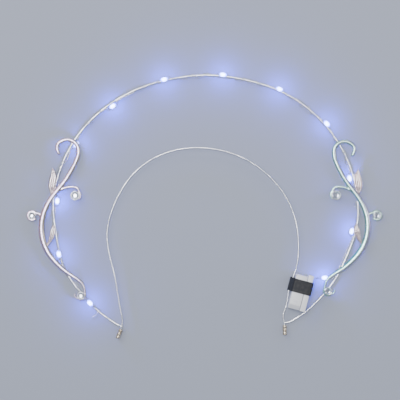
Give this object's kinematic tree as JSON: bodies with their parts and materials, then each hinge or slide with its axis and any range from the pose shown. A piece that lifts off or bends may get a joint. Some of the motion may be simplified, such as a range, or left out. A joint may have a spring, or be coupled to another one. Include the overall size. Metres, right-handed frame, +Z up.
{
  "type": "light-up halo headband",
  "caption": "Wide wire halo on a thin wire hair band, with a cast scroll on each side, cut stones, a wound string of small lights and a taped battery case.",
  "frame": {"origin": "middle of the outline seen from above, on the surface that it lies on", "axes": "+Z up, square to the plane of the halo; +Y from the feet towards the top of the halo; +X to the right in the picture"},
  "size_m": [0.2412, 0.181, 0.0136],
  "materials": {
    "wire_silver": "silver-plated drawn steel wire, slightly dull",
    "string_silver": "thin silvered copper wire",
    "sleeve_metal": "pale champagne plated, satin",
    "scroll_mint": "iridescent plating, mint to grey lilac",
    "scroll_lilac": "iridescent plating, silver to pink lilac",
    "clear_stone": "cut clear crystal with a foiled back",
    "light_drop": "clear resin drop, lit cool blue white",
    "white_plastic": "moulded, semi-gloss",
    "black_tape": "matte insulating tape"
  },
  "bodies": {
    "root": {"battery_case": "white_plastic", "battery_lid": "white_plastic", "end_sleeve_left": "sleeve_metal", "end_sleeve_right": "sleeve_metal", "hair_band": "wire_silver", "halo_wire": "wire_silver", "led_01": "light_drop", "led_02": "light_drop", "led_03": "light_drop", "led_04": "light_drop", "led_05": "light_drop", "led_06": "light_drop", "led_07": "light_drop", "led_08": "light_drop", "led_09": "light_drop", "led_10": "light_drop", "led_11": "light_drop", "led_12": "light_drop", "light_wire": "string_silver", "scroll_left": "scroll_lilac", "scroll_right": "scroll_mint", "stone_left_lower": "clear_stone", "stone_left_outer": "clear_stone", "stone_left_upper": "clear_stone", "stone_right_lower": "clear_stone", "stone_right_outer": "clear_stone", "stone_right_upper": "clear_stone", "tape_wrap": "black_tape"}
  },
  "joints": []
}
